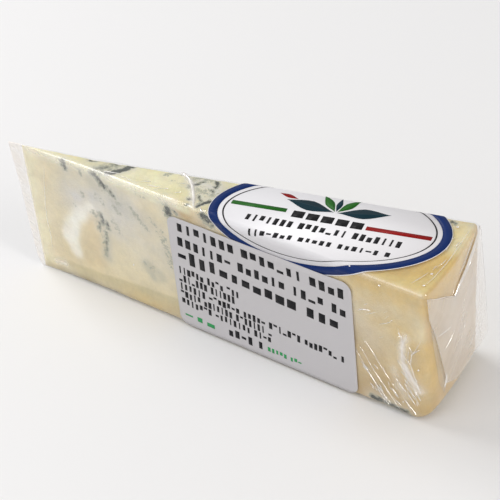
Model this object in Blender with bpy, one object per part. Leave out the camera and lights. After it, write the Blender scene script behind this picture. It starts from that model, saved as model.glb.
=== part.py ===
"""A wedge of blue cheese sealed in clear film, with an oval label folded over its top and a label on one side.

Metres, +Z up. The parts are modelled with the point of the cheese at the origin and its middle line along +X, the
near cut side towards -Y. An empty carries them, so that the middle of the base of their box is the world's origin.
"""

import math

import bmesh
import bpy
from mathutils import Matrix, Vector

MM = 0.001

# The cheese: a sector of a wheel, standing on a cut face.
WHEEL_RADIUS = 140.0 * MM
HEIGHT = 45.4 * MM
HALF_APEX = math.radians(7.15)
LONG_EDGE_RADIUS = 1.5 * MM

# The rind end: the rim is softer towards the base.
END_BASE_RADIUS = 5.0 * MM
END_TOP_RADIUS = 1.0 * MM
UPRIGHT_RADIUS_TOP = 1.5 * MM
UPRIGHT_RADIUS_BASE = 6.0 * MM

# The film: a pinched seam in front of the point, and side ears folded across the rind end.
SEAM_REACH = 4.2 * MM
SEAM_THICKNESS = 0.8 * MM
SEAM_CORNER_RISE = 5.0 * MM
SEAM_BASE_NARROWING = 0.25
EAR_DEPTH = 14.0 * MM
EAR_STEP = 0.3 * MM
EAR_SWELL = 0.9 * MM
EAR_TUCK = 9.0 * MM

# The labels: plain sheets that lie just clear of the film, and of each other.
CLEARANCE = 0.3 * MM
LABEL_THICKNESS = 0.25 * MM
OVAL_CENTRE = Vector((101.6 * MM, 1.1 * MM, 0.0))
OVAL_LENGTH = 68.8 * MM
OVAL_WIDTH = 40.6 * MM
OVAL_TURN = math.radians(7.9)
OVAL_CORNERS = 96
SIDE_LABEL_START = 54.5 * MM
SIDE_LABEL_LENGTH = 62.5 * MM
SIDE_LABEL_BASE = 0.8 * MM
SIDE_LABEL_HEIGHT = 39.2 * MM
SIDE_LABEL_CORNER = 3.0 * MM
BRIDGE_FOOT = 33.5 * MM
BRIDGE_CREST = 36.8 * MM
BRIDGE_RUN = (62.0 * MM, 71.0 * MM, 113.0 * MM, 122.0 * MM)

# How finely round places are cut.
ARC_STEPS = 4
END_STEPS = 8
ARC_SHARES = tuple(1 - math.tan(math.pi / 2 * step / ARC_STEPS) for step in range(ARC_STEPS // 2 + 1))
ROUND_SHARE = 0.2
MIDDLE_COLUMNS = 8
MIDDLE_ROWS = 8
BODY_STEP = 12.0 * MM
END_SLACK = 0.05 * MM
TINY = 1e-7


def clear_scene():
    for thing in list(bpy.data.objects):
        bpy.data.objects.remove(thing, do_unlink=True)


def principled(name, colour, roughness):
    material = bpy.data.materials.new(name)
    material.use_nodes = True
    shader = material.node_tree.nodes["Principled BSDF"]
    shader.inputs["Base Color"].default_value = (*colour, 1.0)
    shader.inputs["Roughness"].default_value = roughness
    shader.inputs["Metallic"].default_value = 0.0
    return material


def add_object(name, bm, material, carrier):
    """Turns the bmesh into a named object on the carrier."""
    bmesh.ops.recalc_face_normals(bm, faces=bm.faces)
    mesh = bpy.data.meshes.new(name)
    bm.to_mesh(mesh)
    bm.free()
    mesh.materials.append(material)
    mesh.shade_smooth()
    mesh.set_sharp_from_angle(angle=math.radians(30))
    part = bpy.data.objects.new(name, mesh)
    bpy.context.scene.collection.objects.link(part)
    part.parent = carrier
    return part


def cut_across(bm, axis, places):
    """Cuts the mesh across one axis at each place."""
    for place in places:
        normal = Vector((0, 0, 0))
        normal[axis] = 1.0
        bmesh.ops.bisect_plane(
            bm,
            geom=bm.verts[:] + bm.edges[:] + bm.faces[:],
            plane_co=normal * place,
            plane_no=normal,
            dist=TINY,
        )


def quarter_round(distance, radius):
    """How far a quarter round has fallen back at this distance from the corner it takes off."""
    if distance >= radius:
        return 0.0
    share = 1.0 - max(distance, 0.0) / radius
    return radius * (1.0 - math.sqrt(max(0.0, 1.0 - share * share)))


def even_steps(low, high, count):
    return [low + (high - low) * step / count for step in range(1, count)]


def half_width(reach):
    """Half the wedge's width at this reach from the point, or of the film's seam in front of it."""
    return max(SEAM_THICKNESS / 2, reach * HALF_APEX)


def stations():
    """Where the wedge is cut across its length, closest together in its round places."""
    seam = even_steps(-SEAM_REACH, 0.0, 4)
    tip = [0.0, SEAM_THICKNESS / 2 / HALF_APEX, 5.0 * MM, 8.0 * MM]
    body_start = tip[-1] + BODY_STEP / 2
    end_start = WHEEL_RADIUS - UPRIGHT_RADIUS_BASE
    body = even_steps(body_start, end_start, round((end_start - body_start) / BODY_STEP))
    turns = [math.pi / 2 * step / END_STEPS for step in range(END_STEPS)]
    end = [WHEEL_RADIUS - UPRIGHT_RADIUS_BASE * (1 - math.sin(turn)) for turn in turns]
    return seam + tip + [body_start] + body + end


def column_cuts():
    """Cuts along the wedge in shares of its half width. The outer ROUND_SHARE holds the long edges' rounding."""
    flat = 1 - ROUND_SHARE
    inner = even_steps(-flat, flat, MIDDLE_COLUMNS)
    rounded = [1 - ROUND_SHARE * share for share in ARC_SHARES if 0 < share <= 1]
    return sorted(inner + rounded + [-share for share in rounded])


def row_cuts():
    """Cuts at heights up the wedge, with those of the long edges' rounding."""
    low = [LONG_EDGE_RADIUS * share for share in ARC_SHARES if 0 < share <= 1]
    flat = even_steps(LONG_EDGE_RADIUS, HEIGHT - LONG_EDGE_RADIUS, MIDDLE_ROWS)
    return low + flat + [HEIGHT - height for height in low]


def rounded_section(share, z, width):
    """A point of the upright cross-section, as a distance from the middle and a height, with its corners rounded."""
    radius = min(LONG_EDGE_RADIUS, width / 2)
    flat = 1 - ROUND_SHARE
    if abs(share) > flat:
        across = width - radius * (1 - abs(share)) / ROUND_SHARE
    else:
        across = (width - radius) * abs(share) / flat
    core = Vector((min(across, width - radius), min(max(z, radius), HEIGHT - radius)))
    out = Vector((across, z)) - core
    on_skin = abs(share) > 1 - TINY or z < TINY or z > HEIGHT - TINY
    if on_skin:
        out = out.normalized() * radius
    point = core + out
    return math.copysign(point.x, share), point.y


def upright_radius(z):
    """The rounding of the rind end's upright edges, which grows towards the base."""
    return UPRIGHT_RADIUS_BASE + (UPRIGHT_RADIUS_TOP - UPRIGHT_RADIUS_BASE) * z / HEIGHT


def wedge_point(reach, share, z):
    """The place on the sealed wedge of a point of the plain box it is cut from."""
    width = half_width(reach)
    across, height = rounded_section(share, z, width)
    rise = height / HEIGHT
    if reach <= 0:
        outward = -reach / SEAM_REACH
        height += SEAM_CORNER_RISE * outward**3 * (1 - rise)
        reach *= 1 - SEAM_BASE_NARROWING * (1 - rise)
        return Vector((reach, across, height))
    to_end = WHEEL_RADIUS - reach
    across *= 1 - quarter_round(to_end, upright_radius(height)) / width
    height += quarter_round(to_end, END_BASE_RADIUS) * (1 - rise) - quarter_round(to_end, END_TOP_RADIUS) * rise
    turn = across / reach
    return Vector((reach * math.cos(turn), reach * math.sin(turn), height))


def on_end(vert):
    return vert.co.xy.length > WHEEL_RADIUS - END_SLACK


def fold_ears(bm):
    """Raises the film's ears across the rind end, below two folds that run from the top corners to the middle."""
    corner = WHEEL_RADIUS * HALF_APEX - UPRIGHT_RADIUS_TOP
    top = HEIGHT - END_TOP_RADIUS
    for side in (-1, 1):
        across_fold = Vector((0.0, -side * EAR_DEPTH, corner)).normalized()
        for drop in (0.0, EAR_STEP):
            faces = [f for f in bm.faces if all(on_end(v) and v.co.y * side > -TINY for v in f.verts)]
            edges = {e for f in faces for e in f.edges}
            verts = {v for f in faces for v in f.verts}
            bmesh.ops.bisect_plane(
                bm,
                geom=[*verts, *edges, *faces],
                plane_co=Vector((0.0, side * corner, top - drop)),
                plane_no=across_fold,
                dist=TINY,
            )
    for vert in filter(on_end, bm.verts):
        share = min(abs(vert.co.y) / corner, 1.0)
        below_fold = top - EAR_DEPTH * (1 - share) - vert.co.z
        if below_fold > EAR_STEP / 2:
            tuck = min(max(vert.co.z - END_BASE_RADIUS, 0.0) / EAR_TUCK, 1.0)
            vert.co.x += EAR_SWELL * (1 - share**2) * tuck


def sealed_wedge(carrier):
    """The cheese and the tight film round it, as one closed body."""
    bm = bmesh.new()
    bmesh.ops.create_cube(bm, size=1.0)
    length = WHEEL_RADIUS + SEAM_REACH
    middle = Vector(((WHEEL_RADIUS - SEAM_REACH) / 2, 0.0, HEIGHT / 2))
    bmesh.ops.scale(bm, vec=(length, 2.0, HEIGHT), verts=bm.verts)
    bmesh.ops.translate(bm, vec=middle, verts=bm.verts)
    cut_across(bm, 0, stations())
    cut_across(bm, 1, column_cuts())
    cut_across(bm, 2, row_cuts())
    for vert in bm.verts:
        vert.co = wedge_point(*vert.co)
    fold_ears(bm)
    bmesh.ops.triangulate(bm, faces=[f for f in bm.faces if len(f.verts) > 4])
    material = principled("cheese_in_film", (0.80, 0.71, 0.47), 0.25)
    return add_object("wrapped_wedge", bm, material, carrier)


def side_outward(side):
    """The outward direction of a cut side, -1 for the near one and 1 for the far one."""
    return Vector((-math.sin(HALF_APEX), side * math.cos(HALF_APEX), 0.0))


def fold_over_edge(point, side, lift):
    """Folds a point of a sheet that lies this far above the top down over one long edge."""
    outward = side_outward(side)
    past = point.dot(outward) + LONG_EDGE_RADIUS
    if past <= 0:
        return point
    radius = LONG_EDGE_RADIUS + lift
    turn = min(past / radius, math.pi / 2)
    hanging = past - radius * turn
    foot = point - outward * past
    out = radius * math.sin(turn)
    down = radius * (1 - math.cos(turn)) + hanging
    return foot + outward * out - Vector((0, 0, down))


def oval_label(carrier):
    """The oval sheet, scored along the two long edges and folded down over them."""
    bm = bmesh.new()
    bmesh.ops.create_circle(bm, cap_ends=True, segments=OVAL_CORNERS, radius=1.0)
    shape = (
        Matrix.Translation(OVAL_CENTRE + Vector((0, 0, HEIGHT + CLEARANCE)))
        @ Matrix.Rotation(OVAL_TURN, 4, "Z")
        @ Matrix.Diagonal((OVAL_LENGTH / 2, OVAL_WIDTH / 2, 1.0, 1.0))
    )
    bmesh.ops.transform(bm, matrix=shape, verts=bm.verts)
    bend = (LONG_EDGE_RADIUS + CLEARANCE) * math.pi / 2
    for side in (-1, 1):
        for step in range(ARC_STEPS + 1):
            outward = side_outward(side)
            bmesh.ops.bisect_plane(
                bm,
                geom=bm.verts[:] + bm.edges[:] + bm.faces[:],
                plane_co=outward * (bend * step / ARC_STEPS - LONG_EDGE_RADIUS),
                plane_no=outward,
                dist=TINY,
            )
    for vert in bm.verts:
        for side in (-1, 1):
            vert.co = fold_over_edge(vert.co, side, CLEARANCE)
    bmesh.ops.triangulate(bm, faces=[f for f in bm.faces if len(f.verts) > 4])
    label = add_object("oval_label", bm, principled("oval_paper", (0.82, 0.81, 0.86), 0.45), carrier)
    thicken_outward(label, Vector((0, 0, 1)))
    return label


def thicken_outward(label, outward):
    """Gives an open sheet its thickness on the side that faces outward."""
    mesh = label.data
    facing = sum(polygon.normal.dot(outward) * polygon.area for polygon in mesh.polygons)
    if facing < 0:
        mesh.flip_normals()
    solidify = label.modifiers.new("thickness", "SOLIDIFY")
    solidify.thickness = LABEL_THICKNESS
    solidify.offset = 1.0
    solidify.use_even_offset = True


def bridge_share(along):
    """How much of the bridge over the oval's hanging edge there is at this place along the side label."""
    start, full, fade, end = BRIDGE_RUN
    return max(0.0, min(1.0, (along - start) / (full - start), (end - along) / (end - fade)))


def side_label_lift(along, height):
    """How far the side label stands off the side, which is more where it lies over the oval's hanging edge."""
    climb = max(0.0, min(1.0, (height - BRIDGE_FOOT) / (BRIDGE_CREST - BRIDGE_FOOT)))
    return CLEARANCE + (CLEARANCE + LABEL_THICKNESS) * climb * bridge_share(along)


def side_label(carrier):
    """The rounded sheet on the near side, whose top edge bridges the oval's hanging edge."""
    bm = bmesh.new()
    bmesh.ops.create_grid(bm, x_segments=1, y_segments=1, size=0.5)
    bmesh.ops.scale(bm, vec=(SIDE_LABEL_LENGTH, SIDE_LABEL_HEIGHT, 1.0), verts=bm.verts)
    middle = Vector((SIDE_LABEL_START + SIDE_LABEL_LENGTH / 2, SIDE_LABEL_BASE + SIDE_LABEL_HEIGHT / 2, 0.0))
    bmesh.ops.translate(bm, vec=middle, verts=bm.verts)
    bmesh.ops.bevel(
        bm,
        geom=bm.verts[:],
        offset=SIDE_LABEL_CORNER,
        offset_type="OFFSET",
        segments=6,
        profile=0.5,
        affect="VERTICES",
        material=-1,
    )
    cut_across(bm, 0, BRIDGE_RUN[:3])
    cut_across(bm, 1, (BRIDGE_FOOT, BRIDGE_CREST))
    along_side = Vector((math.cos(HALF_APEX), -math.sin(HALF_APEX), 0.0))
    outward = side_outward(-1)
    for vert in bm.verts:
        along, height = vert.co.x, vert.co.y
        vert.co = along_side * along + outward * side_label_lift(along, height) + Vector((0, 0, height))
    bmesh.ops.triangulate(bm, faces=[f for f in bm.faces if len(f.verts) > 4])
    label = add_object("side_label", bm, principled("side_paper", (0.60, 0.59, 0.60), 0.5), carrier)
    thicken_outward(label, outward)
    return label


def centre_on_base(carrier, parts):
    """Moves the carrier so that the middle of the base of the parts' box is the world's origin."""
    bpy.context.view_layer.update()
    graph = bpy.context.evaluated_depsgraph_get()
    corners = [part.matrix_world @ Vector(c) for part in parts for c in part.evaluated_get(graph).bound_box]
    low = Vector(min(c[axis] for c in corners) for axis in range(3))
    high = Vector(max(c[axis] for c in corners) for axis in range(3))
    carrier.location = (-(low.x + high.x) / 2, -(low.y + high.y) / 2, -low.z)


def main():
    clear_scene()
    carrier = bpy.data.objects.new("wedge_frame", None)
    bpy.context.scene.collection.objects.link(carrier)
    parts = [sealed_wedge(carrier), oval_label(carrier), side_label(carrier)]
    centre_on_base(carrier, parts)


main()
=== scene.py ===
"""Dresses the film-wrapped wedge of blue cheese: marbled cheese, clear film and two printed labels.

Metres, +Z up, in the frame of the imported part. Most shapes are worked out in the wedge's own terms: reach is
the distance from the upright line through the cheese's point, and the near side is the labelled cut side,
towards -Y. Rows of places hold a face and points on it, in millimetres from the cheese's point.
"""

import math
import random

import bmesh
import bpy
import numpy as np
from bpy.props import FloatProperty, FloatVectorProperty, PointerProperty
from mathutils import Matrix, Vector, noise


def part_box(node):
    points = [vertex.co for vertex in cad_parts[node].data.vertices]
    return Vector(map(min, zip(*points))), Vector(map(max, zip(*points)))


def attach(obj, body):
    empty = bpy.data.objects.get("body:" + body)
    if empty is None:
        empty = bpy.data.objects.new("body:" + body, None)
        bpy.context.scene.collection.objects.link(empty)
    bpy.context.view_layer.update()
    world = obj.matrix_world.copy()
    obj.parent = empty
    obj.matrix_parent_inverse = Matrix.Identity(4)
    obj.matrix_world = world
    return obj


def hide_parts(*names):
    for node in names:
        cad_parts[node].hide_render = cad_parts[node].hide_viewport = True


bl_info = {
    "name": "Wrapped cheese wedge",
    "version": (1, 0, 0),
    "blender": (4, 5, 0),
    "location": "View3D > Sidebar > Cheese wedge",
    "description": "Cheese, film and labels of a wrapped blue cheese wedge, on a pale studio floor",
    "category": "Add Mesh",
}

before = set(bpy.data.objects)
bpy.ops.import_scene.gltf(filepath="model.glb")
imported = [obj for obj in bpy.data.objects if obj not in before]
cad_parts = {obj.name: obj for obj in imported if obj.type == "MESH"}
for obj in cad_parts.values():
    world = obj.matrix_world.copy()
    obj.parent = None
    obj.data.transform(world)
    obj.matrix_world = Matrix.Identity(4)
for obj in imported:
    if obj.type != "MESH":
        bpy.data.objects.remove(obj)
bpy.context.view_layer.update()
MM = 0.001

# What the CAD says about the wedge: its film seam stands in front of the point, and its end folds swell.
WEDGE_LOW, WEDGE_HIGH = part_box("wrapped_wedge")
SEAM_REACH = 4.2 * MM
EAR_SWELL = 0.9 * MM
POINT = Vector((WEDGE_LOW.x + SEAM_REACH, 0.0, 0.0))

# How many cuts the cheese and the film have along, across and up.
CHEESE_CUTS = (230, 34, 72)
FILM_CUTS = (300, 32, 88)

# Where those cuts go. The edge shares are kept for the rounded long edges. Along the wedge the cuts run from
# -1 to 1: the turns are half way into the seam, the start of the sides and the start of the rounded end.
COLUMN_EDGE_SHARE = 0.2
ROW_EDGE_SHARE = 0.07
END_STEPS = 9
SEAM_TURN = 0.95
BODY_TURN = 0.93
END_TURN = 0.92
SKIN = 1e-6

# The foot of the film's seam is drawn up. It is drawn back by the first share of its reach, and of what is
# left it keeps the second.
SEAM_FOOT_RISE = 5.0 * MM
SEAM_FOOT_DRAWN = 0.25
SEAM_FOOT_KEPT = 0.62
SEAM_FLUTTER = 0.5 * MM

# The film spans the low far corner of the rind end: how far it stands off, and where that starts, in mm.
SLACK = 2.0
SLACK_TOP = 45.0
SLACK_DEPTH = 36.0
SLACK_WIDTH = 16.0
SLACK_FOOT = (4.0, 8.5)

# The folded sheets of film: how fine and over what spans they are cut, in mm, and how thick they are.
EAR_CELL = 0.5
EAR_SPANS = ((-17.0, 17.0), (5.0, 44.0))
SHEET_THICKNESS = 0.05 * MM

# The film's sharp creases, in mm: how long a piece is, how deep it is sunk, and how its cross-section tapers.
RIDGE_STEP = 0.8
RIDGE_SUNK = 0.15
RIDGE_CREST_SHARE = 0.6
RIDGE_THIN_END = 0.12
RIDGE_SLOPE = 0.12
RIDGE_STEEP_ABOVE = 0.35
RIDGE_STEEPNESS = 1.6

# How the labels are cut, so that they can fold and bend. The side label's cells and spans are in mm.
OVAL_SEGMENTS = 128
FOLD_STEPS = 8
LABEL_CELL = 2.0
LABEL_SPANS = ((50.0, 120.0), (0.0, 42.0))

# Fixed draws for the print's plain blocks, the hidden veins and the fine wrinkles, so that each run is alike.
PRINT_SEED = 11
VEIN_SEED = 23
WRINKLE_SEED = 5

# How the film's pattern is drawn out and turned: slanting down the cut sides, and slanting up the rind end.
SIDE_GRAIN = ((3.0, 1.0, 0.8), (0.0, math.radians(36.0), 0.0))
END_GRAIN = ((1.0, 1.0, 6.0), (math.radians(-45.0), 0.0, 0.0))


def length_property(name, description, default):
    return FloatProperty(name=name, description=description, default=default, unit="LENGTH")


class WedgeSizes(bpy.types.PropertyGroup):
    """Driving sizes of the cheese and its film."""

    wheel_radius: length_property(
        "Wheel radius", "Length of the cut sides, point to rind", WEDGE_HIGH.x - EAR_SWELL - POINT.x
    )
    height: length_property("Height", "Height of the wrapped wedge", WEDGE_HIGH.z)
    half_apex: FloatProperty(
        name="Half apex",
        description="Half of the angle between the two cut sides",
        default=math.radians(7.15),
        subtype="ANGLE",
    )
    edge_radius: length_property("Edge radius", "Rounding of the long edges under the film", 1.5 * MM)
    end_base_radius: length_property("Rind foot radius", "Rounding of the rind end's lower edge", 5.0 * MM)
    end_top_radius: length_property("Rind top radius", "Rounding of the rind end's upper edge", 1.0 * MM)
    upright_radius_top: length_property(
        "Upright edge radius, top", "Rounding of the rind end's upright edges at the top", 1.5 * MM
    )
    upright_radius_base: length_property(
        "Upright edge radius, foot", "Rounding of the rind end's upright edges at the base", 6.0 * MM
    )
    seam_thickness: length_property(
        "Seam thickness", "Thickness of the film's pinched seam in front of the point", 0.5 * MM
    )
    film_gap: length_property("Film gap", "How far the cheese lies under the film", 0.25 * MM)


class LabelSizes(bpy.types.PropertyGroup):
    """Driving sizes of the two labels."""

    thickness: length_property("Paper thickness", "Thickness of a label", 0.11 * MM)
    lift: length_property("Paper lift", "How far a label stands off what it is stuck on", 0.04 * MM)
    ink: length_property("Ink thickness", "Thickness of the printed fields", 0.015 * MM)
    oval_length: length_property("Oval length", "Length of the oval label before it is folded", 68.8 * MM)
    oval_width: length_property("Oval width", "Width of the oval label before it is folded", 40.6 * MM)
    oval_turn: FloatProperty(
        name="Oval turn",
        description="How far the oval label is turned from the wedge's middle line",
        default=math.radians(7.9),
        subtype="ANGLE",
    )
    oval_centre: FloatVectorProperty(
        name="Oval centre",
        description="Centre of the oval label, from the cheese's point",
        default=(101.6 * MM, 1.1 * MM, 0.0),
        subtype="TRANSLATION",
    )
    side_start: length_property(
        "Side label start", "Where the side label starts along the near side, from the point", 54.5 * MM
    )
    side_length: length_property("Side label length", "Length of the side label", 62.5 * MM)
    side_base: length_property("Side label foot", "Height of the side label's lower edge", 0.8 * MM)
    side_height: length_property("Side label height", "Height of the side label itself", 39.2 * MM)
    side_corner: length_property("Side label corner", "Radius of the side label's corners", 3.0 * MM)


def colour_property(name, description, default):
    return FloatVectorProperty(
        name=name, description=description, default=default, size=3, min=0.0, max=1.0, subtype="COLOR"
    )


class WedgeColours(bpy.types.PropertyGroup):
    """Colours of the cheese, the film and the print."""

    top_cream: colour_property("Top cream", "The paste on the upper cut face", (0.80, 0.745, 0.40))
    side_cream: colour_property("Side cream", "The paste on the cut sides", (0.79, 0.69, 0.445))
    butter: colour_property("Butter", "The yellower paste near the rind", (0.69, 0.47, 0.13))
    bisque: colour_property("Bisque", "The brownish paste along the base", (0.51, 0.34, 0.13))
    peach: colour_property("Peach", "Warm paste in the bay of an air pocket", (0.76, 0.62, 0.36))
    # Painted highlight: this pale green-white is laid along the near top edge, where the film over the rounded
    # edge catches the light.
    painted_edge_highlight: colour_property("Whey", "Pale green-white paste along the upper edge", (0.83, 0.81, 0.53))
    curd: colour_property("Curd", "The lightest paste, at the point", (0.92, 0.84, 0.60))
    ash: colour_property("Ash", "Paste clouded by trapped air", (0.66, 0.64, 0.58))
    milk: colour_property("Milk", "Pale edge of an air pocket", (0.96, 0.93, 0.81))
    vein_pale: colour_property("Pale vein", "The grey-green halo of a vein", (0.36, 0.37, 0.28))
    vein_dark: colour_property("Dark vein", "The blue-green heart of a vein", (0.035, 0.045, 0.035))
    rind: colour_property("Rind", "The rind under the film", (0.62, 0.42, 0.22))
    film_white: colour_property("Film white", "Film where it is folded or bunched", (0.96, 0.915, 0.86))
    oval_paper: colour_property("Oval paper", "Coated paper of the oval label", (0.95, 0.935, 0.97))
    # Side paper: the thermal paper's own grey-white, made greyer with painted shade, as the near side lies in
    # shade.
    side_paper: colour_property("Side paper", "Thermal paper of the side label", (0.60, 0.585, 0.595))
    ink_blue: colour_property("Blue", "The oval label's rim", (0.006, 0.024, 0.12))
    ink_green: colour_property("Green", "Green fields", (0.018, 0.12, 0.014))
    ink_red: colour_property("Red", "Red fields", (0.26, 0.006, 0.005))
    ink_teal: colour_property("Teal", "Dark leaves", (0.006, 0.03, 0.045))
    ink_black: colour_property("Black", "Dark fields", (0.012, 0.012, 0.014))
    ink_mint: colour_property("Mint", "Small green fields of the side label", (0.04, 0.30, 0.10))
    floor: colour_property("Floor", "The pale studio floor", (0.86, 0.86, 0.87))


def sizes():
    return bpy.context.scene.wedge_sizes


def label_sizes():
    return bpy.context.scene.wedge_label_sizes


def colours():
    return bpy.context.scene.wedge_colours


# Places on the wedge, from the cheese's point, in millimetres.


def on_top(along, across):
    """A place on the upper face, by its distance along the middle line and across to the far side."""
    return np.array((along, across, sizes().height / MM))


def on_base(along, across):
    return np.array((along, across, 0.0))


def on_side(along, up, side):
    """A place on a cut side, -1 for the near one and 1 for the far one."""
    turn = side * sizes().half_apex
    return np.array((along * math.cos(turn), along * math.sin(turn), up))


def on_near(along, up):
    """A place on the near side, by its distance from the point and its height."""
    return on_side(along, up, -1)


def on_far(along, up):
    """A place on the far side, by its distance from the point and its height."""
    return on_side(along, up, 1)


def on_end(across, up):
    """A place on the rind end, by its distance across to the far side and its height."""
    radius = sizes().wheel_radius / MM
    return np.array((math.sqrt(radius**2 - across**2), across, up))


def end_slack(across, up):
    """How far the film stands off the rind end, in mm: most at its low far corner, which it only spans."""
    down = np.clip((SLACK_TOP - np.asarray(up)) / SLACK_DEPTH, 0.0, 1.0) * smooth_step(*SLACK_FOOT, up)
    return SLACK * down * smooth_step(0.0, SLACK_WIDTH, across)


def on_ear(across, up):
    """A place on the upper one of the ears of film that are folded over the rind end."""
    outline, _, lift = ear_outlines()[1]
    place = on_end(across, up)
    place[0] += ear_stand(across, up, outline, lift)
    return place


# Mesh tools


def finish_mesh(name, bm, materials, smooth_angle=40.0):
    """Makes a named object of the bmesh, with its place in its mesh, that rides on the part."""
    bmesh.ops.recalc_face_normals(bm, faces=bm.faces)
    mesh = bpy.data.meshes.new(name)
    bm.to_mesh(mesh)
    bm.free()
    for material in materials:
        mesh.materials.append(material)
    mesh.transform(Matrix.Translation(POINT))
    mesh.shade_smooth()
    mesh.set_sharp_from_angle(angle=math.radians(smooth_angle))
    piece = bpy.data.objects.new(name, mesh)
    bpy.context.scene.collection.objects.link(piece)
    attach(piece, "root")
    return piece


def cut_box(cuts):
    """A cube from -1 to 1 with this many cuts across each axis, on its skin alone."""
    bm = bmesh.new()
    bmesh.ops.create_cube(bm, size=2.0)
    for axis, count in enumerate(cuts):
        if count == 0:
            continue
        along = [e for e in bm.edges if abs(e.verts[0].co[axis] - e.verts[1].co[axis]) > 1.0]
        bmesh.ops.subdivide_edges(bm, edges=along, cuts=count, use_grid_fill=True)
    return bm


def whole(bm):
    return bm.verts[:] + bm.edges[:] + bm.faces[:]


def cut_sheet(bm, geometry, spans, cell, unit=MM):
    """Cuts a flat sheet into cells, so that it can bend, and returns its parts.

    The spans, one for each of its directions, and the cell are in mm, and the sheet is drawn in the unit.
    """
    for normal, (low, high) in zip((Vector((1, 0, 0)), Vector((0, 1, 0))), spans):
        for step in np.arange(low, high, cell):
            place = normal * float(step) * unit
            cut = bmesh.ops.bisect_plane(
                bm, geom=geometry, plane_co=place, plane_no=normal, dist=1e-4 * unit
            )
            geometry = cut["geom"]
    return geometry


def get_places(bm):
    return np.array([vert.co for vert in bm.verts])


def set_places(bm, places):
    for vert, place in zip(bm.verts, places):
        vert.co = place


def get_normals(bm):
    bm.normal_update()
    return np.array([vert.normal for vert in bm.verts])


def write_attribute(bm, name, values):
    layer = bm.verts.layers.float.new(name)
    for vert, value in zip(bm.verts, values):
        vert[layer] = float(value)


def write_colours(bm, name, values):
    layer = bm.verts.layers.float_color.new(name)
    for vert, value in zip(bm.verts, values):
        vert[layer] = (*value, 1.0)


def smooth_step(low, high, values):
    share = np.clip((np.asarray(values) - low) / (high - low), 0.0, 1.0)
    return share * share * (3.0 - 2.0 * share)


def noise_field(places, scale, seed):
    """Smooth noise from -1 to 1 at these places, with features about 1 / scale metres across."""
    shift = Vector((seed * 7.3, seed * 3.1, seed * 5.7))
    return np.array([noise.noise(Vector(place) * scale + shift) for place in places])


def capsule_distance(places, start, end):
    """Distance in millimetres from each place to the line between two points given in millimetres."""
    places = places / MM
    axis = end - start
    length = float(axis @ axis)
    along = np.clip((places - start) @ axis / length, 0.0, 1.0) if length > 0 else np.zeros(len(places))
    return np.linalg.norm(places - start - along[:, None] * axis, axis=1)


def stroke(places, face, points, radius, sharpness=2):
    """How much of a soft stroke along points of a face there is at each place, from 0 to 1."""
    line = [face(*point) for point in points]
    nearest = np.full(len(places), np.inf)
    for start, end in zip(line, line[1:] if len(line) > 1 else line):
        nearest = np.minimum(nearest, capsule_distance(places, start, end))
    return np.exp(-((nearest / radius) ** sharpness))


# The wedge's form


def station_reach(turn, start):
    """The reach of a cut, spread so that the seam, the point and the rounded end have their own."""
    size = sizes()
    angles = np.linspace(0.0, math.pi / 2, END_STEPS)
    ends = size.wheel_radius - size.upright_radius_base * (1.0 - np.sin(angles))
    knots = [-1.0, -SEAM_TURN, -BODY_TURN, *np.linspace(END_TURN, 1.0, END_STEPS)]
    return np.interp(turn, knots, [start, max(0.0, (start + seam_end()) / 2), seam_end(), *ends])


def seam_end():
    """The reach at which the wedge is as wide as the film's seam is thick."""
    return sizes().seam_thickness / 2 / sizes().half_apex


def quarter_round(distance, radius):
    """How far a quarter round has fallen back at this distance from the corner it takes off."""
    share = np.clip(1.0 - distance / radius, 0.0, 1.0)
    return radius * (1.0 - np.sqrt(1.0 - share * share))


def edge_spaced(share, half, radius, edge_share):
    """A distance from the middle for a share of the half width, with the outer shares for the rounding."""
    size = np.abs(share)
    flat = 1.0 - edge_share
    outer = half - radius * (1.0 - size) / edge_share
    inner = (half - radius) * size / flat
    return np.sign(share) * np.where(size > flat, outer, inner)


def wedge_form(box, start, inset, taut=False):
    """Places on the wedge's skin, drawn in by inset, of the points of a cut box.

    The cuts start at a given reach. A taut skin keeps the far upright edge of the rind end as sharp at its
    foot as at its top.
    """
    size = sizes()
    reach = station_reach(box[:, 0], start)
    half = np.maximum(size.seam_thickness / 2, reach * size.half_apex)
    width = half - np.minimum(inset, half * 0.3)
    half_height = size.height / 2 - inset
    radius = np.minimum(size.edge_radius, width / 2)
    across = edge_spaced(box[:, 1], width, radius, COLUMN_EDGE_SHARE)
    up = edge_spaced(box[:, 2], half_height, radius, ROW_EDGE_SHARE)
    core_across = np.clip(across, radius - width, width - radius)
    core_up = np.clip(up, radius - half_height, half_height - radius)
    out = np.stack((across - core_across, up - core_up), axis=1)
    on_skin = np.maximum(np.abs(box[:, 1]), np.abs(box[:, 2])) > 1.0 - SKIN
    length = np.linalg.norm(out, axis=1)
    scale = np.where(on_skin & (length > SKIN * MM), radius / np.maximum(length, SKIN * MM), 1.0)
    across = core_across + out[:, 0] * scale
    up = size.height / 2 + core_up + out[:, 1] * scale
    rise = up / size.height
    to_end = size.wheel_radius - reach
    upright = size.upright_radius_base + (size.upright_radius_top - size.upright_radius_base) * rise
    if taut:
        upright = np.where(box[:, 1] > 0, size.upright_radius_top, upright)
    across = across * (1.0 - quarter_round(to_end, upright) / width)
    up = up + quarter_round(to_end, size.end_base_radius) * (1.0 - rise)
    up = up - quarter_round(to_end, size.end_top_radius) * rise
    reach = reach - inset * smooth_step(0.5, 1.0, reach / size.wheel_radius)
    turn = np.where(reach > seam_end() / 2, across / np.maximum(reach, seam_end() / 2), 0.0)
    x = np.where(turn == 0.0, reach, reach * np.cos(turn))
    y = np.where(turn == 0.0, across, reach * np.sin(turn))
    return np.stack((x, y, up), axis=1)


# Materials


def new_material(name):
    """A material with an empty node tree, and its output node."""
    material = bpy.data.materials.new(name)
    material.use_nodes = True
    tree = material.node_tree
    tree.nodes.clear()
    return material, tree, tree.nodes.new("ShaderNodeOutputMaterial")


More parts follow.
